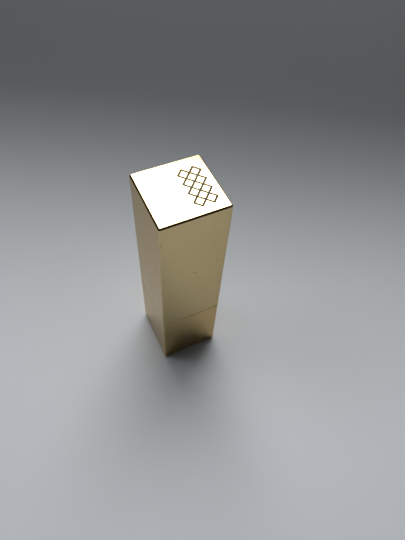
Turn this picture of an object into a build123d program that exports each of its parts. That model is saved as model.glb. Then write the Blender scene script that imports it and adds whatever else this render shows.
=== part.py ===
from build123d import *
from math import hypot
import os

# Square twist-up lipstick case, in millimetres. +Z is up, and the origin is the middle of the foot.
# The case is four groups: the base, the sleeve that turns on it, the carriage that rises inside
# the sleeve, and the cap that pulls off upwards.

# ---- driving dimensions -------------------------------------------------------------------
# outer case
side = 20.0                # width of the square case
case_height = 75.5         # foot to the top of the cap
seam_height = 25.2         # foot to the rim of the base shell
seam_gap = 0.15            # open line between the base and the cap
shell_wall = 0.6           # wall of both gold shells
shell_roof = 0.6           # roof of the cap shell, under the top plate
edge_radius = 0.5          # the case's vertical edges
inner_corner = 0.3         # vertical corners inside the shells
rim_chamfer = 0.1          # broken edge along each side of the seam
foot_chamfer = 0.25        # broken edge round the foot
base_floor = 0.9           # floor of the base shell

# top plate
plate_thickness = 0.6
plate_chamfer = 0.45       # bright bevel round the top
spigot_side = 13.9         # square boss under the plate
spigot_gap = 0.05          # between the boss and the window that it fills
spigot_corner = 1.0

# ornament cut into the top plate: a lattice of outlined diamonds, along its +X side
diamond_columns = 2
diamond_rows = 4
diamond_length = 3.0       # along Y
diamond_width = 3.2        # along X
diamond_line = 0.26        # width of the cut line
ornament_depth = 0.12
ornament_edge = 2.3        # from the plate's side to the lattice

# foot label
label_side = 15.0
label_corner = 1.2
label_thickness = 0.12
label_pocket = 0.25        # depth of the recess that holds it
label_gap = 0.2            # round the label, in its recess

# base fittings
weight_height = 5.0
weight_gap = 0.1           # between the steel weight and the shell
weight_corner = 1.2        # vertical corners of the weight
weight_chamfer = 0.5
insert_floor = 1.0
collar_skirt = 3.0         # part of the collar inside the base shell
collar_step = 3.5          # part of the collar inside the cap
collar_gap = 0.1           # between the collar and the cap shell
collar_chamfer = 0.25

# twist-up mechanism, from the middle outwards
bullet_radius = 6.05
cup_wall = 0.35
guide_wall = 0.6
cam_wall = 0.85
sleeve_wall = 0.4
running_gap = 0.05         # between turning and sliding faces
sleeve_gap = 0.15          # round the sleeve, in the base
grip_gap = 0.1             # round the sleeve, in the cap liner

# heights in the mechanism
foot_flange = 2.4          # flange under the guide tube
guide_floor = 1.1          # floor of the guide tube, part of that flange
ring_section = 0.8         # thickness of the friction ring
cup_rise = 0.3             # cup above the guide tube's floor when fully down
lip_thickness = 0.4
lip_round = 0.35           # rounded outer edge of the sleeve's top
lip_overhang = 0.25        # between the lip's opening and the guide tube's bore
rim_above_cup = 1.6        # sleeve above the cup when fully up
snap_height = 0.65         # snap lip at the top of the guide tube
snap_reach = 0.4

# twist
stroke = 28.0              # travel of the cup
lead = 20.0                # rise of the cup in one turn of the sleeve
lug_radius = 1.0
lug_height = 3.7           # lug's centre above the underside of the cup
lug_reach = 0.5            # how far a lug goes into the cam
groove_spare = 0.05        # beyond the lug's end
groove_fit = 0.05          # each side of a lug

# cup and bullet
cup_height = 12.5
cup_floor = 0.8
cup_rib_count = 6
cup_rib_height = 0.2
cup_rib_width = 0.6
cup_rib_start = 30         # degrees from the first rib to the lugs' line
vent_radius = 1.0
bullet_sink = 5.8          # tip below the sleeve's top when fully down
bullet_slant = 40.0        # slope of the cut tip, in degrees
bullet_round = 0.8         # softened edge of the slant

# cap liner
liner_wall = 0.7
liner_roof = 0.8
liner_flange = 1.2         # square flange at its mouth
corner_rib = 1.0           # thickness of the ribs into the shell's corners
corner_angle = 45          # degrees from X to the first corner of the case
grip_rib_count = 6
grip_rib_width = 0.8
grip_rib_height = 0.07
grip_rib_length = 9.0
mouth_chamfer = 0.2        # lead-in at the mouth of its bore

# keys that stop the guide tube turning in the base
key_width = 2.0
key_gap = 0.05
key_reach = 1.1

full_turn = 360            # degrees

# ---- sizes that follow --------------------------------------------------------------------
bore_side = side - 2 * shell_wall
cap_bottom = seam_height + seam_gap
plate_bottom = case_height - plate_thickness
cap_inner_top = plate_bottom - shell_roof
weight_top = base_floor + weight_height
collar_bottom = seam_height - collar_skirt
collar_top = seam_height + collar_step

cup_radius = bullet_radius + cup_wall
guide_bore = cup_radius + running_gap
guide_radius = guide_bore + guide_wall
cam_bore = guide_radius + running_gap
cam_radius = cam_bore + cam_wall
sleeve_radius = cam_radius + sleeve_wall
base_bore = sleeve_radius + sleeve_gap
liner_bore = sleeve_radius + grip_gap

guide_bottom = weight_top + insert_floor
flange_top = guide_bottom + foot_flange
cam_bottom = flange_top + ring_section + running_gap
sleeve_bottom = flange_top + sleeve_gap
cup_bottom = guide_bottom + guide_floor + cup_rise
sleeve_top = cup_bottom + cup_height + stroke + rim_above_cup
lip_radius = guide_bore + lip_overhang
lip_bottom = sleeve_top - lip_thickness
guide_top = lip_bottom - running_gap
cam_top = guide_top - snap_height - running_gap

lug_z = cup_bottom + lug_height
lug_end = cam_bore + lug_reach
groove_width = 2 * (lug_radius + groove_fit)
groove_inner = guide_bore + guide_wall / 2
groove_depth = lug_end + groove_spare - groove_inner
groove_middle = groove_inner + groove_depth / 2
bullet_bottom = cup_bottom + cup_floor
bullet_top = sleeve_top - bullet_sink
liner_top = cap_inner_top
key_radius = base_bore + key_reach

os.makedirs("parts", exist_ok=True)

# ---- base ---------------------------------------------------------------------------------
# gold cup of the base, with a shallow recess in its foot for the label
with BuildPart() as base_shell:
    with BuildSketch():
        RectangleRounded(side, side, edge_radius)
    extrude(amount=seam_height)
    chamfer(base_shell.faces().sort_by(Axis.Z)[0].edges(), foot_chamfer)
    chamfer(base_shell.faces().sort_by(Axis.Z)[-1].edges(), rim_chamfer)
    with BuildSketch(Plane.XY.offset(base_floor)):
        RectangleRounded(bore_side, bore_side, inner_corner)
    extrude(amount=seam_height - base_floor, mode=Mode.SUBTRACT)
    with BuildSketch():
        RectangleRounded(label_side + 2 * label_gap, label_side + 2 * label_gap, label_corner + label_gap)
    extrude(amount=label_pocket, mode=Mode.SUBTRACT)
base_shell.part.label = "base_shell"
export_step(base_shell.part, "parts/base_shell.step")

# shade label, stuck to the roof of its recess
with BuildPart() as foot_label:
    with BuildSketch(Plane.XY.offset(label_pocket - label_thickness)):
        RectangleRounded(label_side, label_side, label_corner)
    extrude(amount=label_thickness)
foot_label.part.label = "foot_label"
export_step(foot_label.part, "parts/foot_label.step")

# steel slug that gives the base its weight
with BuildPart() as base_weight:
    weight_side = bore_side - 2 * weight_gap
    with BuildSketch(Plane.XY.offset(base_floor)):
        RectangleRounded(weight_side, weight_side, weight_corner)
    extrude(amount=weight_height)
    chamfer(base_weight.faces().sort_by(Axis.Z)[-1].edges(), weight_chamfer)
base_weight.part.label = "base_weight"
export_step(base_weight.part, "parts/base_weight.step")

# moulded inner base: square outside, a round socket inside, and four keyways in its corners
with BuildPart() as base_insert:
    with BuildSketch(Plane.XY.offset(weight_top)):
        RectangleRounded(bore_side, bore_side, inner_corner)
    extrude(amount=collar_bottom - weight_top)
    with BuildSketch(Plane.XY.offset(guide_bottom)):
        Circle(base_bore)
        with PolarLocations(0, 4, start_angle=corner_angle):
            SlotOverall(2 * (key_radius + key_gap), key_width + 2 * key_gap)
    extrude(amount=collar_bottom - guide_bottom, mode=Mode.SUBTRACT)
base_insert.part.label = "base_insert"
export_step(base_insert.part, "parts/base_insert.step")

# collar: its skirt fills the base shell's mouth, and its step guides the cap on square
with BuildPart() as base_collar:
    with BuildSketch(Plane.XY.offset(collar_bottom)):
        RectangleRounded(bore_side, bore_side, inner_corner)
    extrude(amount=collar_skirt)
    step_side = bore_side - 2 * collar_gap
    with BuildSketch(Plane.XY.offset(seam_height)):
        RectangleRounded(step_side, step_side, inner_corner)
    extrude(amount=collar_step)
    chamfer(base_collar.faces().sort_by(Axis.Z)[-1].edges(), collar_chamfer)
    with BuildSketch(Plane.XY.offset(collar_bottom)):
        Circle(base_bore)
    extrude(amount=collar_skirt + collar_step, mode=Mode.SUBTRACT)
base_collar.part.label = "base_collar"
export_step(base_collar.part, "parts/base_collar.step")

# guide tube: a forked tube on a keyed flange, with two slots that keep the cup from turning
with BuildPart() as guide_tube:
    with BuildSketch(Plane.XY.offset(guide_bottom)):
        Circle(base_bore)
        with PolarLocations(0, 4, start_angle=corner_angle):
            SlotOverall(2 * key_radius, key_width)
    extrude(amount=foot_flange)
    with BuildSketch(Plane.XY.offset(flange_top)):
        Circle(guide_radius)
    extrude(amount=guide_top - flange_top)
    with BuildSketch(Plane.XY.offset(guide_top - snap_height)):
        Circle(guide_radius + snap_reach)
    extrude(amount=snap_height)
    chamfer(guide_tube.faces().sort_by(Axis.Z)[-1].edges(), snap_reach)
    with BuildSketch(Plane.XY.offset(guide_bottom + guide_floor)):
        Circle(guide_bore)
    extrude(amount=guide_top - guide_bottom - guide_floor, mode=Mode.SUBTRACT)
    slot_bottom = lug_z - lug_radius - groove_fit
    with BuildSketch(Plane.XY.offset(slot_bottom)):
        Rectangle(2 * cam_radius, groove_width)
    extrude(amount=guide_top - slot_bottom, mode=Mode.SUBTRACT)
guide_tube.part.label = "guide_tube"
export_step(guide_tube.part, "parts/guide_tube.step")

# silicone ring that gives the twist its drag, round the tube on top of the flange
with BuildPart() as friction_ring:
    ring_middle = guide_radius + running_gap + ring_section / 2
    with BuildSketch(Plane.XZ):
        with Locations((ring_middle, flange_top + ring_section / 2)):
            Circle(ring_section / 2)
    revolve(axis=Axis.Z)
friction_ring.part.label = "friction_ring"
export_step(friction_ring.part, "parts/friction_ring.step")

# ---- sleeve -------------------------------------------------------------------------------
# one helical groove with round ends, and its way in for a lug, cut twice out of the cam tube
with BuildPart() as groove_cutter:
    with BuildLine(Plane.XY.offset(lug_z)) as groove_path:
        Helix(pitch=lead, height=stroke, radius=groove_middle)
    groove_start = Plane(groove_path.line @ 0, x_dir=(1, 0, 0), z_dir=groove_path.line % 0)
    with BuildSketch(groove_start):
        Rectangle(groove_depth, groove_width)
    sweep(path=groove_path.line, is_frenet=True)
    for angle, height in ((0, lug_z), (full_turn * stroke / lead, lug_z + stroke)):
        outwards = Vector(1, 0, 0).rotate(Axis.Z, angle)
        with BuildSketch(Plane(outwards * groove_inner + Vector(0, 0, height), z_dir=outwards)):
            Circle(groove_width / 2)
        extrude(amount=groove_depth)
    with BuildSketch(Plane.XY.offset(cam_bottom)):
        with Locations((groove_middle, 0)):
            Rectangle(groove_depth, groove_width)
    extrude(amount=lug_z - cam_bottom)

# cam tube: its two grooves are half a turn apart, and open at the bottom so that a lug can enter
with BuildPart() as spiral_cam:
    with BuildSketch(Plane.XY.offset(cam_bottom)):
        Circle(cam_radius)
        Circle(cam_bore, mode=Mode.SUBTRACT)
    extrude(amount=cam_top - cam_bottom)
    with PolarLocations(0, 2):
        add(groove_cutter.part, mode=Mode.SUBTRACT)
spiral_cam.part.label = "spiral_cam"
export_step(spiral_cam.part, "parts/spiral_cam.step")

# outer sleeve: drawn tube, rolled inwards at the top over the cam and the guide tube
with BuildPart() as outer_sleeve:
    with BuildSketch(Plane.XY.offset(sleeve_bottom)):
        Circle(sleeve_radius)
    extrude(amount=sleeve_top - sleeve_bottom)
    fillet(outer_sleeve.faces().sort_by(Axis.Z)[-1].edges(), lip_round)
    with BuildSketch(Plane.XY.offset(sleeve_bottom)):
        Circle(cam_radius)
    extrude(amount=lip_bottom - sleeve_bottom, mode=Mode.SUBTRACT)
    with BuildSketch(Plane.XY.offset(lip_bottom)):
        Circle(lip_radius)
    extrude(amount=lip_thickness, mode=Mode.SUBTRACT)
outer_sleeve.part.label = "outer_sleeve"
export_step(outer_sleeve.part, "parts/outer_sleeve.step")

# ---- carriage -----------------------------------------------------------------------------
# cup: holds the bullet on crush ribs, and carries the two lugs
with BuildPart() as cup:
    with BuildSketch(Plane.XY.offset(cup_bottom)):
        Circle(cup_radius)
        Circle(vent_radius, mode=Mode.SUBTRACT)
    extrude(amount=cup_floor)
    with BuildSketch(Plane.XY.offset(bullet_bottom)):
        Circle(cup_radius)
        Circle(bullet_radius, mode=Mode.SUBTRACT)
        with PolarLocations(bullet_radius, cup_rib_count, start_angle=cup_rib_start):
            Rectangle(2 * cup_rib_height, cup_rib_width)
    extrude(amount=cup_height - cup_floor)
    with BuildSketch(Plane.YZ):
        with Locations((0, lug_z)):
            Circle(lug_radius)
    extrude(amount=lug_end, both=True)
    with BuildSketch(Plane.XY.offset(bullet_bottom)):
        Circle(bullet_radius - cup_rib_height)
    extrude(amount=cup_height - cup_floor, mode=Mode.SUBTRACT)
cup.part.label = "cup"
export_step(cup.part, "parts/cup.step")

# bullet: the stick of lipstick, cut on a slant, moulded round the cup's ribs
with BuildPart() as bullet:
    with BuildSketch(Plane.XY.offset(bullet_bottom)):
        Circle(bullet_radius)
    extrude(amount=bullet_top - bullet_bottom)
    slant_plane = Plane((0, bullet_radius, bullet_top)).rotated((bullet_slant, 0, 0))
    split(bisect_by=slant_plane, keep=Keep.BOTTOM)
    fillet(bullet.faces().sort_by(Axis.Z)[-1].edges(), bullet_round)
    add(cup.part, mode=Mode.SUBTRACT)
bullet.part.label = "bullet"
export_step(bullet.part, "parts/bullet.step")

# ---- cap ----------------------------------------------------------------------------------
# gold outer cap, with a square window in its roof for the top plate's boss
with BuildPart() as cap_shell:
    with BuildSketch(Plane.XY.offset(cap_bottom)):
        RectangleRounded(side, side, edge_radius)
    extrude(amount=plate_bottom - cap_bottom)
    chamfer(cap_shell.faces().sort_by(Axis.Z)[0].edges(), rim_chamfer)
    with BuildSketch(Plane.XY.offset(cap_bottom)):
        RectangleRounded(bore_side, bore_side, inner_corner)
    extrude(amount=cap_inner_top - cap_bottom, mode=Mode.SUBTRACT)
    window_side = spigot_side + 2 * spigot_gap
    with BuildSketch(Plane.XY.offset(cap_inner_top)):
        RectangleRounded(window_side, window_side, spigot_corner)
    extrude(amount=shell_roof, mode=Mode.SUBTRACT)
cap_shell.part.label = "cap_shell"
export_step(cap_shell.part, "parts/cap_shell.step")

# bevelled top plate, with the lattice of diamonds cut into it
with BuildPart() as cap_top_plate:
    with BuildSketch(Plane.XY.offset(plate_bottom)):
        RectangleRounded(side, side, edge_radius)
    extrude(amount=plate_thickness)
    chamfer(cap_top_plate.faces().sort_by(Axis.Z)[-1].edges(), plate_chamfer)
    with BuildSketch(Plane.XY.offset(cap_inner_top)):
        RectangleRounded(spigot_side, spigot_side, spigot_corner)
    extrude(amount=shell_roof)
    half_width = diamond_width / 2
    half_length = diamond_length / 2
    half_line = diamond_line / 2 * hypot(half_width, half_length) / (half_width * half_length)
    diamond = [(half_width, 0), (0, half_length), (-half_width, 0), (0, -half_length)]
    outline = [((1 + half_line) * x, (1 + half_line) * y) for x, y in diamond]
    inline = [((1 - half_line) * x, (1 - half_line) * y) for x, y in diamond]
    lattice_x = side / 2 - ornament_edge - diamond_columns * half_width
    with BuildSketch(Plane.XY.offset(case_height - ornament_depth)):
        with Locations((lattice_x, 0)):
            with GridLocations(diamond_width, diamond_length, diamond_columns, diamond_rows):
                Polygon(outline, align=None)
                Polygon(inline, align=None, mode=Mode.SUBTRACT)
    extrude(amount=ornament_depth, mode=Mode.SUBTRACT)
cap_top_plate.part.label = "cap_top_plate"
export_step(cap_top_plate.part, "parts/cap_top_plate.step")

# moulded inner cap: a round tube that grips the sleeve, ribbed out to the shell's corners
with BuildPart() as cap_liner:
    with BuildSketch(Plane.XY.offset(collar_top)):
        Circle(liner_bore + liner_wall)
        with PolarLocations(0, 4, start_angle=corner_angle):
            Rectangle(2 * bore_side, corner_rib)
        RectangleRounded(bore_side, bore_side, inner_corner, mode=Mode.INTERSECT)
    extrude(amount=liner_top - collar_top)
    for flange_bottom, flange_height in ((collar_top, liner_flange), (liner_top - liner_roof, liner_roof)):
        with BuildSketch(Plane.XY.offset(flange_bottom)):
            RectangleRounded(bore_side, bore_side, inner_corner)
        extrude(amount=flange_height)
    with BuildSketch(Plane.XY.offset(collar_top)):
        Circle(liner_bore)
    extrude(amount=liner_top - liner_roof - collar_top, mode=Mode.SUBTRACT)
    chamfer(cap_liner.faces().sort_by(Axis.Z)[0].inner_wires().edges(), mouth_chamfer)
    rib_radius = liner_bore - grip_rib_height
    with BuildSketch(Plane.XY.offset(collar_top + liner_flange)):
        with PolarLocations(liner_bore, grip_rib_count):
            Rectangle(2 * grip_rib_height, grip_rib_width)
        Circle(rib_radius, mode=Mode.SUBTRACT)
    extrude(amount=grip_rib_length)
cap_liner.part.label = "cap_liner"
export_step(cap_liner.part, "parts/cap_liner.step")
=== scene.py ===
from math import atan2, cos, hypot, pi, radians, sin

import bmesh
import bpy
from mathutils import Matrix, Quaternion, Vector


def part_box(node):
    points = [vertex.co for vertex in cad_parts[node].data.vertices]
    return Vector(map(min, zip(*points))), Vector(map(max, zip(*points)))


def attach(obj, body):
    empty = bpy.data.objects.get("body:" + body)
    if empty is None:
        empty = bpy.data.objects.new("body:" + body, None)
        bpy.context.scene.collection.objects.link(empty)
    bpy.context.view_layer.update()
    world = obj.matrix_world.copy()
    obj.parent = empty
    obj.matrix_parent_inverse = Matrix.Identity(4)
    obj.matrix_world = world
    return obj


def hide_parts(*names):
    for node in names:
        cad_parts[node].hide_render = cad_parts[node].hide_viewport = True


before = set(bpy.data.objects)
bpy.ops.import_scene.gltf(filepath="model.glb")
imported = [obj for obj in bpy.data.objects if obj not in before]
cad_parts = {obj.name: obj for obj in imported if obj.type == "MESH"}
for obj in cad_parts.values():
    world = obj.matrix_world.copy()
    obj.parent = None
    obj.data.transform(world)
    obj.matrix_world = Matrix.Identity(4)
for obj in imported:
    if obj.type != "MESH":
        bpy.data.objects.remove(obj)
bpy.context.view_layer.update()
bpy.ops.object.select_all(action="DESELECT")
mm = 0.001


# ---- base shell ---------------------------------------------------------------------------
# The lower third of the case: an aluminium cup, drawn square, anodised pale gold and polished.
# Its rim is the lower side of the seam, and its foot has a shallow recess that keeps the label
# off the table.
shell_low, shell_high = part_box("base_shell")
bore_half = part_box("base_insert")[1].x
shell_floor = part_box("base_weight")[0].z
recess_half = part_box("foot_label")[1].x + 0.2 * mm
recess_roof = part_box("foot_label")[1].z
corner_round = 0.5 * mm
bore_round = 0.3 * mm
recess_round = 1.4 * mm
rim_round = 0.22 * mm
foot_round = 0.25 * mm
near = 0.01 * mm


def new_box(name, low, high):
    """Adds a box between two corners, with its place in its mesh."""
    bpy.ops.mesh.primitive_cube_add(size=1, location=(low + high) / 2)
    piece = bpy.context.object
    piece.name = name
    piece.data.name = name
    piece.scale = high - low
    bpy.ops.object.transform_apply(location=True, rotation=True, scale=True)
    return piece


def only(piece):
    """Leaves one piece selected, and makes it the active one."""
    bpy.ops.object.select_all(action="DESELECT")
    piece.select_set(True)
    bpy.context.view_layer.objects.active = piece


def middle(part):
    """The middle of a face or an edge."""
    return sum((vert.co for vert in part.verts), Vector()) / len(part.verts)


def pick(piece, kind, wanted):
    """Opens the piece in edit mode with only its wanted faces or edges selected."""
    if piece.mode != "EDIT":
        only(piece)
        bpy.ops.object.mode_set(mode="EDIT")
    bpy.ops.mesh.select_mode(type=kind)
    bpy.ops.mesh.select_all(action="DESELECT")
    mesh = bmesh.from_edit_mesh(piece.data)
    for part in mesh.faces if kind == "FACE" else mesh.edges:
        if wanted(part):
            part.select_set(True)
    bmesh.update_edit_mesh(piece.data)


def facing(direction, at=None):
    """Picks faces that point along Z or against it, at one height."""
    return lambda face: face.normal.z * direction > 0.9 and (at is None or abs(middle(face).z - at) < near)


def upright(half):
    """Picks the upright edges at the corners of a square of that half width."""
    def wanted(edge):
        place = middle(edge)
        along = (edge.verts[0].co - edge.verts[1].co).normalized()
        return abs(along.z) > 0.9 and abs(abs(place.x) - half) < near and abs(abs(place.y) - half) < near
    return wanted


def brink(height, outwards):
    """Picks the edges where a level face at a height meets a wall that faces outwards, or inwards."""
    def wanted(edge):
        place = middle(edge)
        level = any(abs(face.normal.z) > 0.9 for face in edge.link_faces)
        walls = [face for face in edge.link_faces if abs(face.normal.z) < 0.1]
        flat = Vector((place.x, place.y, 0))
        right_way = any((wall.normal.dot(flat) > 0) == outwards for wall in walls)
        return abs(place.z - height) < near and level and right_way
    return wanted


def step(piece, direction, edge, to_height):
    """Insets the end face that looks along Z, or against it, and extrudes what is inside to a height."""
    pick(piece, "FACE", facing(direction))
    bpy.ops.mesh.inset(thickness=edge)
    verts = bmesh.from_edit_mesh(piece.data).verts
    start = direction * max(direction * vert.co.z for vert in verts)
    bpy.ops.mesh.extrude_region_move(TRANSFORM_OT_translate={"value": (0, 0, to_height - start)})


def round_off(piece, wanted, size, segments):
    """Rounds or breaks the edges that are wanted."""
    pick(piece, "EDGE", wanted)
    bpy.ops.mesh.bevel(offset=size, segments=segments, affect="EDGES")


def finish_piece(piece, angle=35):
    """Shades the curves smooth and leaves the flats flat."""
    if piece.mode == "EDIT":
        bpy.ops.object.mode_set(mode="OBJECT")
    only(piece)
    bpy.ops.object.shade_smooth_by_angle(angle=radians(angle))
    weigh = piece.modifiers.new("weigh", "WEIGHTED_NORMAL")
    weigh.keep_sharp = True
    bpy.ops.object.modifier_apply(modifier=weigh.name)


base_shell = new_box("base_shell_gold", shell_low, shell_high)
step(base_shell, 1, shell_high.x - bore_half, shell_floor)
step(base_shell, -1, shell_high.x - recess_half, recess_roof)
round_off(base_shell, upright(shell_high.x), corner_round, 8)
round_off(base_shell, upright(bore_half), bore_round, 4)
round_off(base_shell, upright(recess_half), recess_round, 8)
round_off(base_shell, brink(shell_high.z, True), rim_round, 3)
round_off(base_shell, brink(shell_low.z, True), foot_round, 4)
finish_piece(base_shell)


def put(tree, kind, feeds=None, **settings):
    """Adds a shader node with its settings, and feeds its sockets with values or other nodes' outputs."""
    made = tree.nodes.new("ShaderNode" + kind)
    for name, value in settings.items():
        setattr(made, name, value)
    for socket, source in (feeds or {}).items():
        if isinstance(source, bpy.types.NodeSocket):
            tree.links.new(source, made.inputs[socket])
        else:
            made.inputs[socket].default_value = source
    return made


def maths(tree, operation, first, second=0.0):
    """One step of arithmetic."""
    return put(tree, "Math", {0: first, 1: second}, operation=operation).outputs[0]


def ramp(tree, value, low, high, start=0.0, end=1.0):
    """Turns a value from low to high smoothly into one from start to end."""
    feeds = {"Value": value, "From Min": low, "From Max": high, "To Min": start, "To Max": end}
    return put(tree, "MapRange", feeds, interpolation_type="SMOOTHSTEP").outputs["Result"]


def blend_colour(tree, share, first, second):
    """Mixes two colours."""
    return put(tree, "Mix", {0: share, 6: first, 7: second}, data_type="RGBA").outputs[2]


def effect(name, inputs, outputs):
    """Starts a shader node group, and returns its tree and the sockets that its inputs give."""
    tree = bpy.data.node_groups.new(name, "ShaderNodeTree")
    for label, default in inputs.items():
        kind = "NodeSocketFloat" if isinstance(default, float) else "NodeSocketVector"
        tree.interface.new_socket(name=label, in_out="INPUT", socket_type=kind).default_value = default
    for label in outputs:
        kind = "NodeSocketVector" if label == "Place" else "NodeSocketFloat"
        tree.interface.new_socket(name=label, in_out="OUTPUT", socket_type=kind)
    return tree, tree.nodes.new("NodeGroupInput").outputs


def give(tree, **results):
    """Ends a group: each result goes to the output of that name."""
    out = tree.nodes.new("NodeGroupOutput")
    for label, socket in results.items():
        tree.links.new(socket, out.inputs[label])


def use(tree, group, **feeds):
    """Places a group in a material."""
    made = put(tree, "Group", node_tree=group)
    for label, source in feeds.items():
        if isinstance(source, bpy.types.NodeSocket):
            tree.links.new(source, made.inputs[label])
        else:
            made.inputs[label].default_value = source
    return made.outputs


# Hairlines: long thin scratches from wiping, along the piece's Z unless turned, in patches.
hairlines, given = effect(
    "hairlines",
    {
        "Place": (0.0, 0.0, 0.0),
        "Turn": (0.0, 0.0, 0.0),
        "Scale": 1500.0,
        "Stretch": 30.0,
        "Width": 0.02,
        "Amount": 0.5,
    },
    ["Mask"],
)
turning = {"Vector": given["Place"], "Rotation": given["Turn"]}
turned_place = put(hairlines, "VectorRotate", turning, rotation_type="EULER_XYZ")
lengthwise = maths(hairlines, "DIVIDE", given["Scale"], given["Stretch"])
scales = put(hairlines, "CombineXYZ", {"X": given["Scale"], "Y": given["Scale"], "Z": lengthwise})
drawing = {0: turned_place.outputs[0], 1: scales.outputs[0]}
drawn_out = put(hairlines, "VectorMath", drawing, operation="MULTIPLY")
field = put(hairlines, "TexNoise", {"Vector": drawn_out.outputs[0], "Scale": 1.0, "Detail": 1.0})
patches = put(hairlines, "TexNoise", {"Vector": drawn_out.outputs[0], "Scale": 0.17, "Detail": 2.0})
off_line = maths(hairlines, "ABSOLUTE", maths(hairlines, "SUBTRACT", field.outputs["Fac"], 0.5))
on_line = maths(hairlines, "SUBTRACT", 1.0, ramp(hairlines, off_line, 0.0, given["Width"]))
threshold = maths(hairlines, "SUBTRACT", 0.75, maths(hairlines, "MULTIPLY", given["Amount"], 0.5))
present = ramp(hairlines, patches.outputs["Fac"], threshold, maths(hairlines, "ADD", threshold, 0.08))
give(hairlines, Mask=maths(hairlines, "MULTIPLY", on_line, present))

# Smudges: soft greasy patches that hands leave.
smudges, given = effect("smudges", {"Place": (0.0, 0.0, 0.0), "Scale": 120.0, "Amount": 0.5}, ["Mask"])
clouding = {"Vector": given["Place"], "Scale": given["Scale"], "Detail": 4.0, "Distortion": 0.8}
field = put(smudges, "TexNoise", clouding)
threshold = maths(smudges, "SUBTRACT", 0.7, maths(smudges, "MULTIPLY", given["Amount"], 0.3))
give(smudges, Mask=ramp(smudges, field.outputs["Fac"], threshold, maths(smudges, "ADD", threshold, 0.2)))

# Dust: small round specks, in a share of the cells of a grid.
dust, given = effect(
    "dust", {"Place": (0.0, 0.0, 0.0), "Scale": 700.0, "Size": 0.12, "Share": 0.1}, ["Mask"]
)
cells = put(dust, "TexVoronoi", {"Vector": given["Place"], "Scale": given["Scale"]})
lot = put(dust, "SeparateColor", {"Color": cells.outputs["Color"]})
chosen = maths(dust, "LESS_THAN", lot.outputs["Red"], given["Share"])
speck_size = maths(dust, "MULTIPLY", given["Size"], maths(dust, "ADD", lot.outputs["Green"], 0.4))
inside_speck = maths(dust, "LESS_THAN", cells.outputs["Distance"], speck_size)
give(dust, Mask=maths(dust, "MULTIPLY", chosen, inside_speck))

# Corner wear: the upright corners of a square piece, rubbed through in places.
corner_wear, given = effect(
    "corner_wear", {"Place": (0.0, 0.0, 0.0), "Half": 0.01, "Width": 0.0005}, ["Mask"]
)
distances = put(corner_wear, "VectorMath", {0: given["Place"]}, operation="ABSOLUTE")
sides = put(corner_wear, "SeparateXYZ", {0: distances.outputs[0]})
nearer = maths(corner_wear, "MINIMUM", sides.outputs["X"], sides.outputs["Y"])
wear_start = maths(corner_wear, "SUBTRACT", given["Half"], given["Width"])
at_corner = ramp(corner_wear, nearer, wear_start, given["Half"])
breaks = put(corner_wear, "TexNoise", {"Vector": given["Place"], "Scale": 900.0, "Detail": 4.0})
rubbed_through = ramp(corner_wear, breaks.outputs["Fac"], 0.45, 0.6)
give(corner_wear, Mask=maths(corner_wear, "MULTIPLY", at_corner, rubbed_through))

# Unrolled: a round piece laid flat, with X along its axis and Z the way round it.
unrolled, given = effect("unrolled", {"Place": (0.0, 0.0, 0.0), "Radius": 0.008}, ["Place"])
sides = put(unrolled, "SeparateXYZ", {0: given["Place"]}).outputs
round_it = maths(unrolled, "MULTIPLY", maths(unrolled, "ARCTAN2", sides["Y"], sides["X"]), given["Radius"])
give(unrolled, Place=put(unrolled, "CombineXYZ", {"X": sides["Z"], "Z": round_it}).outputs[0])


def new_material(name):
    """A material with only its Principled shader and its piece's Object coordinates."""
    material = bpy.data.materials.new(name)
    material.use_nodes = True
    tree = material.node_tree
    return material, tree, tree.nodes["Principled BSDF"], put(tree, "TexCoord").outputs["Object"]


def feed(tree, shader, **sources):
    """Links sources to the shader's sockets, or sets them."""
    for name, source in sources.items():
        socket = shader.inputs[name.replace("_", " ")]
        if isinstance(source, bpy.types.NodeSocket):
            tree.links.new(source, socket)
        else:
            socket.default_value = source


gold_light = (0.70, 0.555, 0.295, 1)
gold_deep = (0.64, 0.495, 0.25, 1)
gold_warm_reflection = (0.80, 0.51, 0.19, 1)
gold_worn = (0.84, 0.78, 0.66, 1)
dust_grey = (0.62, 0.60, 0.56, 1)
edge_tint = (0.76, 0.70, 0.62, 1)
groove_shade_brown = (0.19, 0.18, 0.15, 1)


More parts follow.
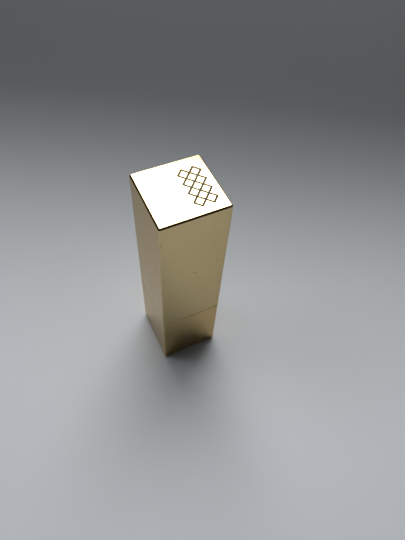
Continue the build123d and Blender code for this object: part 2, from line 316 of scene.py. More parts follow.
def polished_gold(name, roughness, wobble, turns, half=0.0, radius=0.0, engraved=0.0, reflection_warmth=0.0):
    """Lacquered gold metal: wiped surfaces with hairlines, smudges and a little dust.

    wobble is how far the sheet is from flat, and turns is the way of each set of hairlines. half is
    the half width of a square piece, whose corners wear, radius is that of a round piece, whose
    hairlines run round it, and engraved is the height that a cut ornament lies under; its grooves are
    painted dark brown there, as painted shade. The warm share is how far the colour leans towards a
    warmer gold: a painted reflection of the warm, dim floor that the base mirrors near its foot, on
    the same aluminium as the cap.
    """
    material, tree, shader, place = new_material(name)
    cloud = put(tree, "TexNoise", {"Vector": place, "Scale": 70.0, "Detail": 3.0}).outputs["Fac"]
    colour = blend_colour(tree, cloud, gold_deep, gold_light)
    colour = blend_colour(tree, reflection_warmth, colour, gold_warm_reflection)
    grease = use(tree, smudges, Place=place, Scale=110.0, Amount=0.55)["Mask"]
    wiped = use(tree, unrolled, Place=place, Radius=radius)["Place"] if radius else place
    lines = [use(tree, hairlines, Place=wiped, Turn=turn, Amount=0.55)["Mask"] for turn in turns]
    scratched = lines[0]
    for line in lines[1:]:
        scratched = maths(tree, "MAXIMUM", scratched, line)
    specks = use(tree, dust, Place=place, Scale=420.0, Size=0.1, Share=0.08)["Mask"]
    rough = maths(tree, "MULTIPLY", grease, 0.07)
    rough = maths(tree, "ADD", rough, maths(tree, "MULTIPLY", scratched, 0.16))
    rough = maths(tree, "ADD", rough, maths(tree, "MULTIPLY", specks, 0.6))
    rough = maths(tree, "ADD", rough, roughness)
    if half:
        worn = use(tree, corner_wear, Place=place, Half=half, Width=0.45 * mm)["Mask"]
        colour = blend_colour(tree, maths(tree, "MULTIPLY", worn, 0.6), colour, gold_worn)
        rough = maths(tree, "ADD", rough, maths(tree, "MULTIPLY", worn, 0.1))
    # Inside the cut lattice, below the plate's face, the colour is painted dark brown and the metal is made
    # rougher: painted shade in the grooves.
    if engraved:
        sides = put(tree, "SeparateXYZ", {0: place}).outputs
        across = maths(tree, "ABSOLUTE", sides["X"])
        across = maths(tree, "MAXIMUM", across, maths(tree, "ABSOLUTE", sides["Y"]))
        within = maths(tree, "LESS_THAN", across, half - 1.0 * mm)
        below = ramp(tree, maths(tree, "SUBTRACT", engraved, sides["Z"]), 0.005 * mm, 0.03 * mm)
        groove_shade = maths(tree, "MULTIPLY", within, below)
        colour = blend_colour(tree, groove_shade, colour, groove_shade_brown)
        rough = maths(tree, "ADD", rough, maths(tree, "MULTIPLY", groove_shade, 0.4))
    colour = blend_colour(tree, maths(tree, "MULTIPLY", specks, 0.8), colour, dust_grey)
    waves = put(tree, "TexNoise", {"Vector": place, "Scale": 160.0, "Detail": 1.0}).outputs["Fac"]
    sheet = put(tree, "Bump", {"Height": waves, "Strength": 1.0, "Distance": wobble})
    marks = maths(tree, "SUBTRACT", specks, scratched)
    raised = {"Height": marks, "Strength": 0.5, "Distance": 0.002 * mm, "Normal": sheet.outputs[0]}
    relief = put(tree, "Bump", raised)
    feed(tree, shader, Base_Color=colour, Roughness=rough, Normal=relief.outputs[0])
    feed(tree, shader, Metallic=maths(tree, "SUBTRACT", 1.0, maths(tree, "MULTIPLY", specks, 0.8)))
    feed(tree, shader, Specular_Tint=edge_tint, Coat_Weight=0.08, Coat_Roughness=0.04)
    return material


upright_lines = (0.0, 0.0, 0.0)
leaning_lines = (radians(24), radians(17), 0.0)
flat_lines = (0.0, radians(83), radians(12))
base_lines = [upright_lines, leaning_lines]
# The base's gold leans warmer than the cap's: a painted reflection of the warm, dim floor near its foot,
# not a different dye.
base_gold = polished_gold("gold_base", 0.11, 0.02 * mm, base_lines, shell_high.x, reflection_warmth=0.3)
base_shell.data.materials.append(base_gold)
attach(base_shell, "base")
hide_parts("base_shell")


# ---- foot label ---------------------------------------------------------------------------
# The shade label in the foot's recess: a die-cut square of varnished paper, printed with a thin
# frame and a patch of the lipstick's colour, and stuck to the roof of the recess.
label_low, label_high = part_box("foot_label")
label_round = 1.2 * mm
frame_half = 6.6 * mm
frame_line = 0.18 * mm
patch_half = 4.2 * mm
patch_round = 0.9 * mm

foot_label = new_box("foot_label_printed", label_low, label_high)
round_off(foot_label, upright(label_high.x), label_round, 8)
finish_piece(foot_label)


def beyond_square(tree, place, half, rounding):
    """How far a point is outside a rounded square round the Z axis, in metres."""
    corner = half - rounding
    away = put(tree, "VectorMath", {0: place}, operation="ABSOLUTE").outputs[0]
    away = put(tree, "VectorMath", {0: away, 1: (corner, corner, 1.0)}, operation="SUBTRACT").outputs[0]
    away = put(tree, "VectorMath", {0: away, 1: (0.0, 0.0, 0.0)}, operation="MAXIMUM").outputs[0]
    length = put(tree, "VectorMath", {0: away}, operation="LENGTH").outputs["Value"]
    return maths(tree, "SUBTRACT", length, rounding)


material, tree, shader, place = new_material("label_printed_paper")
fibre = put(tree, "TexNoise", {"Vector": place, "Scale": 5200.0, "Detail": 5.0}).outputs["Fac"]
age = put(tree, "TexNoise", {"Vector": place, "Scale": 140.0, "Detail": 3.0}).outputs["Fac"]
colour = blend_colour(tree, age, (0.86, 0.80, 0.66, 1), (0.93, 0.89, 0.79, 1))
ink_edge = maths(tree, "ABSOLUTE", beyond_square(tree, place, frame_half, label_round))
framed = maths(tree, "LESS_THAN", ink_edge, frame_line / 2)
colour = blend_colour(tree, framed, colour, (0.55, 0.40, 0.17, 1))
ragged = maths(tree, "MULTIPLY", maths(tree, "SUBTRACT", fibre, 0.5), 0.12 * mm)
patch_edge = maths(tree, "ADD", beyond_square(tree, place, patch_half, patch_round), ragged)
patched = maths(tree, "LESS_THAN", patch_edge, 0.0)
dots = ramp(tree, fibre, 0.35, 0.62)
rose_ink = blend_colour(tree, dots, (0.50, 0.06, 0.11, 1), (0.60, 0.10, 0.16, 1))
colour = blend_colour(tree, patched, colour, rose_ink)
scuffs = use(tree, hairlines, Place=place, Turn=leaning_lines, Amount=0.5)["Mask"]
colour = blend_colour(tree, maths(tree, "MULTIPLY", scuffs, 0.5), colour, (0.80, 0.76, 0.68, 1))
rough = maths(tree, "ADD", maths(tree, "MULTIPLY", fibre, 0.25), maths(tree, "MULTIPLY", patched, -0.12))
feed(tree, shader, Base_Color=colour, Roughness=maths(tree, "ADD", rough, 0.42))
relief = put(tree, "Bump", {"Height": fibre, "Strength": 0.5, "Distance": 0.004 * mm})
feed(tree, shader, Normal=relief.outputs[0])
foot_label.data.materials.append(material)
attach(foot_label, "base")
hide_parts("foot_label")


# ---- base weight --------------------------------------------------------------------------
# A slug of steel in the bottom of the base that gives it its heft: sheared from bar, its top edges
# broken, tumbled and zinc plated. It drops in before the moulded insert.
weight_low, weight_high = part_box("base_weight")
weight_round = 1.2 * mm
weight_break = 0.5 * mm
weight_soft = 0.12 * mm

base_weight = new_box("base_weight_zinc", weight_low, weight_high)
round_off(base_weight, upright(weight_high.x), weight_round, 6)
round_off(base_weight, brink(weight_high.z, True), weight_break, 2)
round_off(base_weight, brink(weight_low.z, True), weight_soft, 2)
finish_piece(base_weight)

material, tree, shader, place = new_material("zinc_plated_steel")
spangle = put(tree, "TexVoronoi", {"Vector": place, "Scale": 900.0, "Randomness": 1.0})
tone = put(tree, "SeparateColor", {"Color": spangle.outputs["Color"]}).outputs["Red"]
bloom = put(tree, "TexNoise", {"Vector": place, "Scale": 220.0, "Detail": 4.0}).outputs["Fac"]
colour = blend_colour(tree, tone, (0.56, 0.575, 0.60, 1), (0.66, 0.67, 0.68, 1))
colour = blend_colour(tree, ramp(tree, bloom, 0.52, 0.72), colour, (0.62, 0.60, 0.50, 1))
dents = use(tree, dust, Place=place, Scale=1300.0, Size=0.32, Share=0.35)["Mask"]
drag = use(tree, hairlines, Place=place, Turn=(0.0, radians(90), 0.0), Amount=0.9)["Mask"]
rough = maths(tree, "ADD", maths(tree, "MULTIPLY", bloom, 0.3), maths(tree, "MULTIPLY", drag, 0.15))
marks = maths(tree, "ADD", maths(tree, "MULTIPLY", dents, -1.0), maths(tree, "MULTIPLY", drag, -0.5))
feed(tree, shader, Base_Color=colour, Metallic=1.0, Roughness=maths(tree, "ADD", rough, 0.2))
relief = put(tree, "Bump", {"Height": marks, "Strength": 0.6, "Distance": 0.012 * mm})
feed(tree, shader, Normal=relief.outputs[0])
base_weight.data.materials.append(material)
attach(base_weight, "base")
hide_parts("base_weight")


# ---- base insert --------------------------------------------------------------------------
# The white moulded inner base, pressed into the shell on top of the weight. Its round socket takes
# the mechanism, and four keyways in the socket's wall stop the guide tube from turning.


def smooth_copy(node, name, angle=30):
    """Copies a CAD node's mesh as one connected surface, with its curves shaded smooth."""
    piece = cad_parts[node].copy()
    piece.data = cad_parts[node].data.copy()
    piece.name = name
    piece.data.name = name
    piece.parent = None
    bpy.context.collection.objects.link(piece)
    piece.hide_render = False
    piece.hide_viewport = False
    only(piece)
    bpy.ops.object.mode_set(mode="EDIT")
    bpy.ops.mesh.select_all(action="SELECT")
    bpy.ops.mesh.remove_doubles(threshold=0.0005 * mm)
    bpy.ops.mesh.normals_make_consistent(inside=False)
    piece.data.materials.clear()
    finish_piece(piece, angle)
    return piece


def moulded(name, light, deep, roughness, grain, sink, depth=0.0):
    """Injection-moulded plastic: fine spark grain, faint sink marks, handling marks and dust.

    grain and sink are the heights of the fine texture and of the slow waves, and depth is how far
    light spreads inside it.
    """
    material, tree, shader, place = new_material(name)
    flowing = {"Vector": place, "Scale": 180.0, "Detail": 4.0, "Distortion": 1.2}
    flow = put(tree, "TexNoise", flowing).outputs["Fac"]
    spark = put(tree, "TexNoise", {"Vector": place, "Scale": 9000.0, "Detail": 2.0}).outputs["Fac"]
    grease = use(tree, smudges, Place=place, Scale=260.0, Amount=0.6)["Mask"]
    rubbed = use(tree, hairlines, Place=place, Turn=(0.0, 0.0, 0.0), Amount=0.45)["Mask"]
    specks = use(tree, dust, Place=place, Scale=800.0, Size=0.12, Share=0.06)["Mask"]
    colour = blend_colour(tree, flow, deep, light)
    colour = blend_colour(tree, maths(tree, "MULTIPLY", specks, 0.7), colour, (0.35, 0.32, 0.28, 1))
    rough = maths(tree, "MULTIPLY_ADD", spark, 0.12)
    rough.node.inputs[2].default_value = roughness - 0.06
    rough = maths(tree, "SUBTRACT", rough, maths(tree, "MULTIPLY", grease, 0.1))
    rough = maths(tree, "ADD", rough, maths(tree, "MULTIPLY", rubbed, 0.15))
    waves = put(tree, "TexNoise", {"Vector": place, "Scale": 320.0, "Detail": 1.0}).outputs["Fac"]
    slow = put(tree, "Bump", {"Height": waves, "Strength": 1.0, "Distance": sink})
    fine = maths(tree, "SUBTRACT", spark, maths(tree, "MULTIPLY", rubbed, 0.6))
    raised = {"Height": fine, "Strength": 0.6, "Distance": grain, "Normal": slow.outputs[0]}
    relief = put(tree, "Bump", raised)
    feed(tree, shader, Base_Color=colour, Roughness=rough, Normal=relief.outputs[0])
    feed(tree, shader, Subsurface_Weight=depth, Subsurface_Scale=1.0)
    feed(tree, shader, Subsurface_Radius=(0.0012, 0.001, 0.0008))
    return material


natural_light = (0.84, 0.83, 0.78, 1)
natural_deep = (0.76, 0.745, 0.69, 1)
base_insert = smooth_copy("base_insert", "base_insert_moulded")
base_insert.data.materials.append(
    moulded("insert_polypropylene", natural_light, natural_deep, 0.42, 0.0012 * mm, 0.02 * mm, 0.15)
)
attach(base_insert, "base")
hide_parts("base_insert")


# ---- guide tube ---------------------------------------------------------------------------
# The fixed part of the mechanism: a forked acetal tube on a keyed flange. Its two slots keep the
# cup from turning, and the snap lip at its top holds the cam down on the flange.
acetal_light = (0.86, 0.855, 0.82, 1)
acetal_deep = (0.80, 0.79, 0.75, 1)
guide_tube = smooth_copy("guide_tube", "guide_tube_acetal")
guide_tube.data.materials.append(
    moulded("guide_acetal", acetal_light, acetal_deep, 0.3, 0.0006 * mm, 0.012 * mm, 0.2)
)
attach(guide_tube, "base")
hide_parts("guide_tube")


# ---- friction ring ------------------------------------------------------------------------
# A silicone ring round the foot of the guide tube, greased, that gives the twist its smooth drag.
silicone_light = (0.74, 0.76, 0.76, 1)
silicone_deep = (0.66, 0.68, 0.69, 1)
friction_ring = smooth_copy("friction_ring", "friction_ring_silicone", 60)
friction_ring.data.materials.append(
    moulded("ring_silicone_clear", silicone_light, silicone_deep, 0.3, 0.001 * mm, 0.01 * mm, 0.5)
)
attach(friction_ring, "base")
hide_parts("friction_ring")


# ---- collar -------------------------------------------------------------------------------
# The square gold collar at the top of the base: a moulding, metallised and lacquered to match the
# shells. Its skirt is glued into the base's mouth, and its step guides the cap on square.
collar_low, collar_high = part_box("base_collar")
collar_half = collar_high.x
collar_gap = 0.1 * mm
collar_round = 0.3 * mm
collar_break = 0.25 * mm
socket_radius = 8.5 * mm
socket_break = 0.12 * mm
through = 1 * mm

base_collar = new_box("base_collar_gold", collar_low, Vector((collar_half, collar_half, shell_high.z)))
step(base_collar, 1, collar_gap, collar_high.z)
round_off(base_collar, upright(collar_half), collar_round, 6)
round_off(base_collar, upright(collar_half - collar_gap), collar_round, 6)
round_off(base_collar, brink(collar_high.z, True), collar_break, 3)
bpy.ops.object.mode_set(mode="OBJECT")
bpy.ops.mesh.primitive_cylinder_add(
    vertices=160,
    radius=socket_radius,
    depth=collar_high.z - collar_low.z + 2 * through,
    location=(0, 0, (collar_high.z + collar_low.z) / 2),
)
bpy.ops.object.transform_apply(location=True, rotation=True, scale=True)
socket = bpy.context.object


def combine(piece, others, operation):
    """Joins the others into one, and adds it to a piece or cuts it out of it."""
    bpy.ops.object.select_all(action="DESELECT")
    for other in others:
        other.select_set(True)
    bpy.context.view_layer.objects.active = others[0]
    bpy.ops.object.join()
    change = piece.modifiers.new("combine", "BOOLEAN")
    change.operation = operation
    change.object = others[0]
    change.solver = "EXACT"
    only(piece)
    bpy.ops.object.modifier_apply(modifier=change.name)
    bpy.data.objects.remove(others[0])


def circle(height, radius):
    """Picks the edges of a circle round Z."""
    def wanted(edge):
        ends = [(vert.co.z, hypot(vert.co.x, vert.co.y)) for vert in edge.verts]
        return all(abs(z - height) < near and abs(r - radius) < near for z, r in ends)
    return wanted


combine(base_collar, [socket], "DIFFERENCE")
round_off(base_collar, circle(collar_high.z, socket_radius), socket_break, 2)
finish_piece(base_collar)
base_collar.data.materials.append(polished_gold("collar_metallised", 0.15, 0.012 * mm, [leaning_lines]))
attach(base_collar, "base")
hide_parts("base_collar")


# ---- spiral cam ---------------------------------------------------------------------------
# The turning part of the mechanism: an acetal tube with two steep helical grooves on its inside,
# which drive the cup's lugs. It is pressed into the sleeve and turns with it.
spiral_cam = smooth_copy("spiral_cam", "spiral_cam_acetal")
spiral_cam.data.materials.append(
    moulded("cam_acetal", (0.85, 0.84, 0.80, 1), (0.78, 0.77, 0.72, 1), 0.33, 0.0006 * mm, 0.015 * mm, 0.2)
)
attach(spiral_cam, "sleeve")
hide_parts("spiral_cam")


# ---- outer sleeve -------------------------------------------------------------------------
# The gold tube that the fingers turn: drawn aluminium, its top rolled inwards over the cam, then
# polished on a spindle, so that its fine marks run round it.
sleeve_low, sleeve_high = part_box("outer_sleeve")
sleeve_radius = sleeve_high.x
sleeve_bore = 7.95 * mm
lip_radius = 6.7 * mm
lip_bottom = sleeve_high.z - 0.4 * mm
lip_round = 0.35 * mm
lip_soft = 0.1 * mm
fine_round = 128


def turned(name, outline, soft, sides):
    """Spins a closed outline of (radius, height) round Z. soft gives corners with a size and a count."""
    bpy.ops.mesh.primitive_circle_add(vertices=len(outline), fill_type="NOTHING")
    piece = bpy.context.object
    piece.name = name
    piece.data.name = name
    bpy.ops.object.mode_set(mode="EDIT")
    bpy.ops.mesh.select_mode(type="VERT")
    mesh = bmesh.from_edit_mesh(piece.data)
    mesh.verts.ensure_lookup_table()
    for vert, (radius, height) in zip(mesh.verts, outline):
        vert.co = (radius, 0, height)
    for (radius, height), size, count in soft:
        bpy.ops.mesh.select_all(action="DESELECT")
        mesh = bmesh.from_edit_mesh(piece.data)
        for vert in mesh.verts:
            if (vert.co - Vector((radius, 0, height))).length < near:
                vert.select_set(True)
        bmesh.update_edit_mesh(piece.data)
        bpy.ops.mesh.bevel(offset=size, segments=count, affect="VERTICES")
    bpy.ops.mesh.select_all(action="SELECT")
    bpy.ops.mesh.spin(steps=sides, angle=2 * pi, center=(0, 0, 0), axis=(0, 0, 1))
    bpy.ops.mesh.select_all(action="SELECT")
    bpy.ops.mesh.remove_doubles(threshold=0.0005 * mm)
    bpy.ops.mesh.normals_make_consistent(inside=False)
    bpy.ops.object.mode_set(mode="OBJECT")
    return piece


sleeve_outline = [
    (sleeve_radius, sleeve_low.z),
    (sleeve_radius, sleeve_high.z),
    (lip_radius, sleeve_high.z),
    (lip_radius, lip_bottom),
    (sleeve_bore, lip_bottom),
    (sleeve_bore, sleeve_low.z),
]
sleeve_soft = [
    (sleeve_outline[0], lip_soft, 2),
    (sleeve_outline[1], lip_round, 6),
    (sleeve_outline[2], lip_soft, 3),
    (sleeve_outline[3], lip_soft, 2),
]
outer_sleeve = turned("outer_sleeve_gold", sleeve_outline, sleeve_soft, fine_round)
finish_piece(outer_sleeve)
outer_sleeve.data.materials.append(
    polished_gold("gold_sleeve", 0.13, 0.006 * mm, [upright_lines, leaning_lines], radius=sleeve_radius)
)
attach(outer_sleeve, "sleeve")
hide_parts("outer_sleeve")


# ---- cup ----------------------------------------------------------------------------------
# The glossy ivory cup that carries the bullet: a thin moulding with a vent in its floor, six crush
# ribs that grip the wax, and two round lugs that run in the cam's grooves.
cup_low, cup_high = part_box("cup")
cup_radius = cup_high.y
cup_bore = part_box("bullet")[1].x
cup_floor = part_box("bullet")[0].z
vent_radius = 1.0 * mm
cup_round = 0.3 * mm
rim_soft = 0.1 * mm
lug_radius = 1.0 * mm
lug_height = 12.0 * mm
lug_root = 6.2 * mm
lug_break = 0.15 * mm
rib_count = 6
rib_first = radians(30)
rib_reach = 0.2 * mm
rib_width = 0.6 * mm
rib_drop = 0.25 * mm
ivory_light = (0.88, 0.85, 0.77, 1)
ivory_deep = (0.82, 0.78, 0.69, 1)

cup_outline = [
    (vent_radius, cup_low.z),
    (cup_radius, cup_low.z),
    (cup_radius, cup_high.z),
    (cup_bore, cup_high.z),
    (cup_bore, cup_floor),
    (vent_radius, cup_floor),
]
cup_soft = [
    (cup_outline[0], rim_soft, 2),
    (cup_outline[1], cup_round, 4),
    (cup_outline[2], rim_soft, 3),
    (cup_outline[3], rim_soft, 2),
]
cup = turned("cup_ivory", cup_outline, cup_soft, 96)
extras = []
for way in (1, -1):
    bpy.ops.mesh.primitive_cylinder_add(
        vertices=40,
        radius=lug_radius,
        depth=cup_high.x - lug_root,
        location=(way * (cup_high.x + lug_root) / 2, 0, lug_height),
        rotation=(0, way * pi / 2, 0),
    )
    bpy.ops.object.transform_apply(location=True, rotation=True, scale=True)
    lug = bpy.context.object
    round_off(
        lug,
        lambda edge: all(abs(abs(vert.co.x) - cup_high.x) < near for vert in edge.verts),
        lug_break,
        3,
    )
    bpy.ops.object.mode_set(mode="OBJECT")
    extras.append(lug)
rib_top = cup_high.z - rib_drop
for number in range(rib_count):
    angle = rib_first + number * 2 * pi / rib_count
    out = Vector((0, 1, 0))
    out.rotate(Quaternion((0, 0, 1), angle - pi / 2))
    bpy.ops.mesh.primitive_cube_add(
        size=1, location=out * cup_bore + Vector((0, 0, (cup_floor + rib_top) / 2)), rotation=(0, 0, angle)
    )
    rib = bpy.context.object
    rib.scale = (2 * rib_reach, rib_width, rib_top - cup_floor + rib_drop)
    bpy.ops.object.transform_apply(location=True, rotation=True, scale=True)
    extras.append(rib)
combine(cup, extras, "UNION")
finish_piece(cup)
cup.data.materials.append(
    moulded("cup_ivory_gloss", ivory_light, ivory_deep, 0.16, 0.0003 * mm, 0.008 * mm, 0.15)
)
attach(cup, "carriage")
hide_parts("cup")


# ---- bullet -------------------------------------------------------------------------------
# The stick of lipstick: rose-red wax, poured in a split mould and flamed, so that it has a soft
# sheen, a faint parting line on each side, and a slanted face that bulges a little.
bullet_low, bullet_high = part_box("bullet")
bullet_radius = bullet_high.x
root_radius = bullet_radius - rib_reach - 0.02 * mm
root_top = cup_high.z - 0.1 * mm
root_slope = 0.25 * mm
tip_height = 44.2 * mm
slant = radians(40)
slant_round = 1.2 * mm
crown_step = 1.1 * mm

bpy.ops.mesh.primitive_cylinder_add(
    vertices=fine_round,
    radius=root_radius,
    depth=root_top - bullet_low.z,
    location=(0, 0, (root_top + bullet_low.z) / 2),
)
bpy.ops.object.transform_apply(location=True, rotation=True, scale=True)
bullet = bpy.context.object
bullet.name = "bullet_rose"
bullet.data.name = "bullet_rose"
widen = bullet_radius / root_radius
pick(bullet, "FACE", facing(1))
bpy.ops.mesh.extrude_region_move(TRANSFORM_OT_translate={"value": (0, 0, root_slope)})
bpy.ops.transform.resize(value=(widen, widen, 1), center_override=(0, 0, root_top + root_slope))
bpy.ops.mesh.extrude_region_move(TRANSFORM_OT_translate={"value": (0, 0, tip_height - root_top)})
slant_point = Vector((0, bullet_radius, tip_height))
slant_way = Vector((0, -sin(slant), cos(slant)))
bpy.ops.mesh.select_all(action="SELECT")
bpy.ops.mesh.bisect(plane_co=slant_point, plane_no=slant_way, use_fill=True, clear_outer=True)
round_off(
    bullet,
    lambda edge: all(abs((vert.co - slant_point).dot(slant_way)) < near for vert in edge.verts),
    slant_round,
    8,
)
for crown in (0.09 * mm, 0.05 * mm, 0.02 * mm):
    pick(bullet, "FACE", lambda face: face.normal.dot(slant_way) > 0.9999 and len(face.verts) > 20)
    bpy.ops.mesh.inset(thickness=crown_step, depth=crown)
finish_piece(bullet, 40)

material, tree, shader, place = new_material("lipstick_wax")
pigment = put(tree, "TexNoise", {"Vector": place, "Scale": 420.0, "Detail": 5.0}).outputs["Fac"]
colour = blend_colour(tree, ramp(tree, pigment, 0.3, 0.7), (0.44, 0.045, 0.085, 1), (0.56, 0.075, 0.125, 1))
sides = put(tree, "SeparateXYZ", {0: place}).outputs
off_parting = maths(tree, "ABSOLUTE", sides["X"])
parting = ramp(tree, off_parting, 0.02 * mm, 0.09 * mm, 1.0, 0.0)
from_axis = put(tree, "VectorMath", {0: place, 1: (1.0, 1.0, 0.0)}, operation="MULTIPLY").outputs[0]
from_axis = put(tree, "VectorMath", {0: from_axis}, operation="LENGTH").outputs["Value"]
on_wall = ramp(tree, from_axis, bullet_radius - 0.2 * mm, bullet_radius - 0.08 * mm)
parting = maths(tree, "MULTIPLY", parting, on_wall)
flaming = {"Vector": place, "Scale": 150.0, "Detail": 2.0, "Distortion": 0.6}
flamed = put(tree, "TexNoise", flaming).outputs["Fac"]
pores = use(tree, dust, Place=place, Scale=2600.0, Size=0.22, Share=0.12)["Mask"]
dragged = use(tree, hairlines, Place=place, Turn=upright_lines, Amount=0.8)["Mask"]
rough = maths(tree, "ADD", maths(tree, "MULTIPLY", flamed, 0.22), maths(tree, "MULTIPLY", dragged, 0.12))
feed(tree, shader, Base_Color=colour, Roughness=maths(tree, "ADD", rough, 0.22))
feed(tree, shader, Subsurface_Weight=0.25, Subsurface_Scale=1.0)
feed(tree, shader, Subsurface_Radius=(0.0016, 0.0003, 0.0003))
feed(tree, shader, Coat_Weight=0.15, Coat_Roughness=0.25)
slow = put(tree, "Bump", {"Height": flamed, "Strength": 1.0, "Distance": 0.06 * mm})
marks = maths(tree, "SUBTRACT", maths(tree, "MULTIPLY", parting, 1.5), maths(tree, "ADD", pores, dragged))
raised = {"Height": marks, "Strength": 0.7, "Distance": 0.012 * mm, "Normal": slow.outputs[0]}
feed(tree, shader, Normal=put(tree, "Bump", raised).outputs[0])
bullet.data.materials.append(material)
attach(bullet, "carriage")
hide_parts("bullet")


# ---- cap shell ----------------------------------------------------------------------------
# The upper two thirds of the case: the same drawn and anodised aluminium as the base. Its mouth is
# the upper side of the seam, and a square window in its roof takes the boss of the top plate.
cap_low, cap_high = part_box("cap_shell")
cap_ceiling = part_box("cap_liner")[1].z

cap_shell = new_box("cap_shell_gold", cap_low, cap_high)
step(cap_shell, -1, cap_high.x - bore_half, cap_ceiling)
round_off(cap_shell, upright(cap_high.x), corner_round, 8)
round_off(cap_shell, upright(bore_half), bore_round, 4)
round_off(cap_shell, brink(cap_low.z, True), rim_round, 3)
finish_piece(cap_shell)
cap_shell.data.materials.append(
    polished_gold("gold_cap", 0.11, 0.02 * mm, [upright_lines, leaning_lines], cap_high.x)
)
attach(cap_shell, "cap")
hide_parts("cap_shell")


# ---- top plate ----------------------------------------------------------------------------
# A bevelled square of aluminium, polished to a mirror, that closes the cap. It is glued down by the
# boss under it, and a lattice of diamonds is cut along its +X side with a pointed tool.
plate_low, plate_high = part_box("cap_top_plate")
plate_seat = cap_high.z
plate_bevel = 0.45 * mm
boss_half = 6.95 * mm
boss_round = 1.0 * mm
bevel_soft = 0.04 * mm
diamond_x = 1.6 * mm
diamond_y = 1.65 * mm
lattice_x = plate_high.x - 2.3 * mm - 2 * diamond_x
lattice_y = -0.5 * mm
cut_half = 0.32 * mm


def cut_line(start, end, half):
    """A flattened bar that lies along a line on the plate, on one of its corners, to cut a wide V."""
    along = end - start
    bpy.ops.mesh.primitive_cylinder_add(
        vertices=4,
        radius=half,
        depth=along.length + 2 * half,
        location=(start + end) / 2,
        rotation=(pi / 2, 0, atan2(-along.x, along.y)),
        scale=(1, 0.5, 1),
    )
    bpy.ops.object.transform_apply(location=True, rotation=True, scale=True)
    return bpy.context.object


plate = new_box("top_plate_polished", Vector((plate_low.x, plate_low.y, plate_seat)), plate_high)
step(plate, -1, plate_high.x - boss_half, plate_low.z)
round_off(plate, upright(plate_high.x), corner_round, 8)
round_off(plate, upright(boss_half), boss_round, 8)
round_off(plate, brink(plate_high.z, True), plate_bevel, 1)


def bevel_edge(edge):
    """Picks both edges of the plate's bevel."""
    height = middle(edge).z
    level = abs(edge.verts[0].co.z - edge.verts[1].co.z) < near
    slanted = any(0.5 < face.normal.z < 0.9 for face in edge.link_faces)
    ends = (plate_high.z, plate_high.z - plate_bevel)
    return level and slanted and any(abs(height - end) < near for end in ends)


round_off(plate, bevel_edge, bevel_soft, 2)
bpy.ops.object.mode_set(mode="OBJECT")
for lean in (1, -1):
    bars = []
    for line in range(-5, 6, 2):
        ends = []
        for across in (max(-2, -4 - line), min(2, 4 - line)):
            end_x = lattice_x + across * diamond_x
            end_y = lattice_y + lean * (line + across) * diamond_y
            ends.append(Vector((end_x, end_y, plate_high.z)))
        bars.append(cut_line(ends[0], ends[1], cut_half))
    combine(plate, bars, "DIFFERENCE")
finish_piece(plate, 20)
plate_lines = [flat_lines, leaning_lines]
# The material paints the lattice's grooves dark brown as painted shade.
plate_gold = polished_gold(
    "gold_plate_mirror", 0.05, 0.004 * mm, plate_lines, plate_high.x, engraved=plate_high.z
)
plate.data.materials.append(plate_gold)
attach(plate, "cap")
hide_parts("cap_top_plate")


# ---- cap liner ----------------------------------------------------------------------------
# The white moulded inner cap, glued into the cap's shell. Its round tube slides over the sleeve and
# six low ribs near its mouth grip it, while ribs at its corners centre it in the square shell.
cap_liner = smooth_copy("cap_liner", "cap_liner_moulded")
cap_liner.data.materials.append(
    moulded("liner_polypropylene", natural_light, natural_deep, 0.4, 0.001 * mm, 0.03 * mm, 0.15)
)
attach(cap_liner, "cap")
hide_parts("cap_liner")


# ---- table --------------------------------------------------------------------------------
# A plain pale painted sill, with the faint orange peel of rolled paint.
table_half = 4.0
bpy.ops.mesh.primitive_plane_add(size=2 * table_half)
table = bpy.context.object
table.name = "table"
sill_pale = (0.445, 0.465, 0.49, 1)
sill_grey = (0.415, 0.435, 0.46, 1)
material, tree, shader, place = new_material("painted_sill")
cloud = put(tree, "TexNoise", {"Vector": place, "Scale": 9.0, "Detail": 4.0}).outputs["Fac"]
peel = put(tree, "TexNoise", {"Vector": place, "Scale": 380.0, "Detail": 2.0}).outputs["Fac"]
feed(tree, shader, Base_Color=blend_colour(tree, cloud, sill_grey, sill_pale), Roughness=0.55)
relief = put(tree, "Bump", {"Height": peel, "Strength": 0.4, "Distance": 0.03 * mm})
feed(tree, shader, Normal=relief.outputs[0])
table.data.materials.append(material)


# ---- light --------------------------------------------------------------------------------
# One large soft light stands behind the case and to its right, as a window does, and is dimmer
# towards its lower and upper edges. A black net lies above the floor behind the case and shades it
# there, and the room in front of the case is dim.
soft_width = 0.8
soft_height = 1.05
soft_place = Vector((0.24, 0.47, 1.06))
soft_strength = 8.9
soft_edge_strength = 1.6
low_fade = (-0.417, -0.303)
high_fade = (-0.12, 0.4)
high_share = 0.3
bpy.ops.mesh.primitive_plane_add(size=1)
softbox = bpy.context.object
softbox.name = "softbox"
softbox.scale = (soft_width, soft_height, 1)
softbox.location = soft_place
softbox.rotation_mode = "QUATERNION"
softbox.rotation_quaternion = soft_place.to_track_quat("Z", "Y")
softbox.visible_camera = False
material = bpy.data.materials.new("soft_light")
material.use_nodes = True
tree = material.node_tree
tree.nodes.clear()
height = put(tree, "SeparateXYZ", {0: put(tree, "TexCoord").outputs["Object"]}).outputs["Y"]
shine = ramp(tree, height, low_fade[0], low_fade[1], soft_edge_strength, soft_strength)
faded = ramp(tree, height, high_fade[0], high_fade[1], 1.0, high_share)
shine = maths(tree, "MULTIPLY", shine, faded)
glow = put(tree, "Emission", {"Color": (1.0, 0.99, 0.98, 1), "Strength": shine})
put(tree, "OutputMaterial", {"Surface": glow.outputs[0]})
softbox.data.materials.append(material)

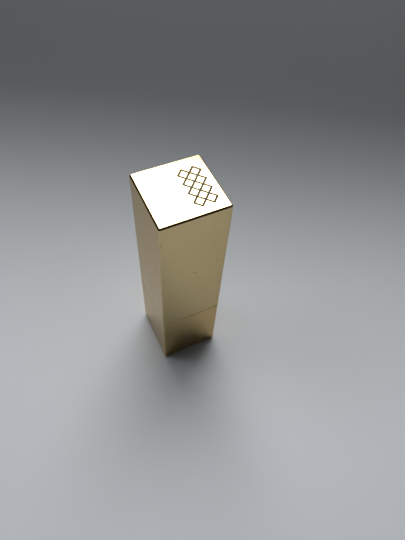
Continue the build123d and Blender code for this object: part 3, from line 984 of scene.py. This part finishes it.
card_height = 0.16
card_near = 0.13
card_far = 0.75
card_half = 1.0
card_way = Vector((0.49, 0.87, 0))
net_cover = 0.86
bpy.ops.mesh.primitive_plane_add(size=1)
card = bpy.context.object
card.name = "shading_card"
card.scale = (2 * card_half, card_far - card_near, 1)
card.location = card_way * (card_near + card_far) / 2 + Vector((0, 0, card_height))
card.rotation_euler.z = -atan2(card_way.x, card_way.y)
card.visible_camera = False
material = bpy.data.materials.new("black_net")
material.use_nodes = True
tree = material.node_tree
shader = tree.nodes["Principled BSDF"]
feed(tree, shader, Base_Color=(0.03, 0.03, 0.028, 1), Roughness=0.9, Alpha=net_cover)
card.data.materials.append(material)

window_way = (0.45, 0.84, 0.3)
left_way = (-0.56, 0.43, 0.71)
world = bpy.data.worlds.new("room")
bpy.context.scene.world = world
world.use_nodes = True
tree = world.node_tree
sky = put(tree, "TexCoord").outputs["Generated"]
way = put(tree, "SeparateXYZ", {0: sky}).outputs
behind = put(tree, "VectorMath", {0: sky, 1: window_way}, operation="DOT_PRODUCT")
bright_side = ramp(tree, behind.outputs["Value"], 0.3, 0.95, 0.03, 0.6)
beside = put(tree, "VectorMath", {0: sky, 1: left_way}, operation="DOT_PRODUCT")
left_side = ramp(tree, beside.outputs["Value"], 0.94, 1.0, 0.0, 3.6)
horizon = ramp(tree, way["Z"], 0.02, 0.2, 0.5, 0.0)
strength = maths(tree, "MAXIMUM", maths(tree, "MAXIMUM", bright_side, left_side), horizon)
backdrop = tree.nodes["Background"]
tree.links.new(strength, backdrop.inputs["Strength"])
backdrop.inputs["Color"].default_value = (0.93, 0.97, 1.0, 1)


# ---- camera -------------------------------------------------------------------------------
# Held by hand above the case, looking down past its top corner, and tilted a little.
camera_place = Vector((-32.2, -71.3, 157.6)) * mm
looks_at = Vector((19.5, 19.5, 0)) * mm
camera_tilt = radians(5.1)
lens = 29.8
bpy.ops.object.camera_add(location=camera_place)
camera = bpy.context.object
camera.data.lens = lens
camera.data.sensor_width = 36
camera.data.clip_start = 5 * mm
camera.rotation_mode = "QUATERNION"
level_view = (looks_at - camera_place).to_track_quat("-Z", "Y")
camera.rotation_quaternion = level_view @ Quaternion((0, 0, 1), camera_tilt)
bpy.context.scene.camera = camera
bpy.context.scene.view_settings.view_transform = "Standard"
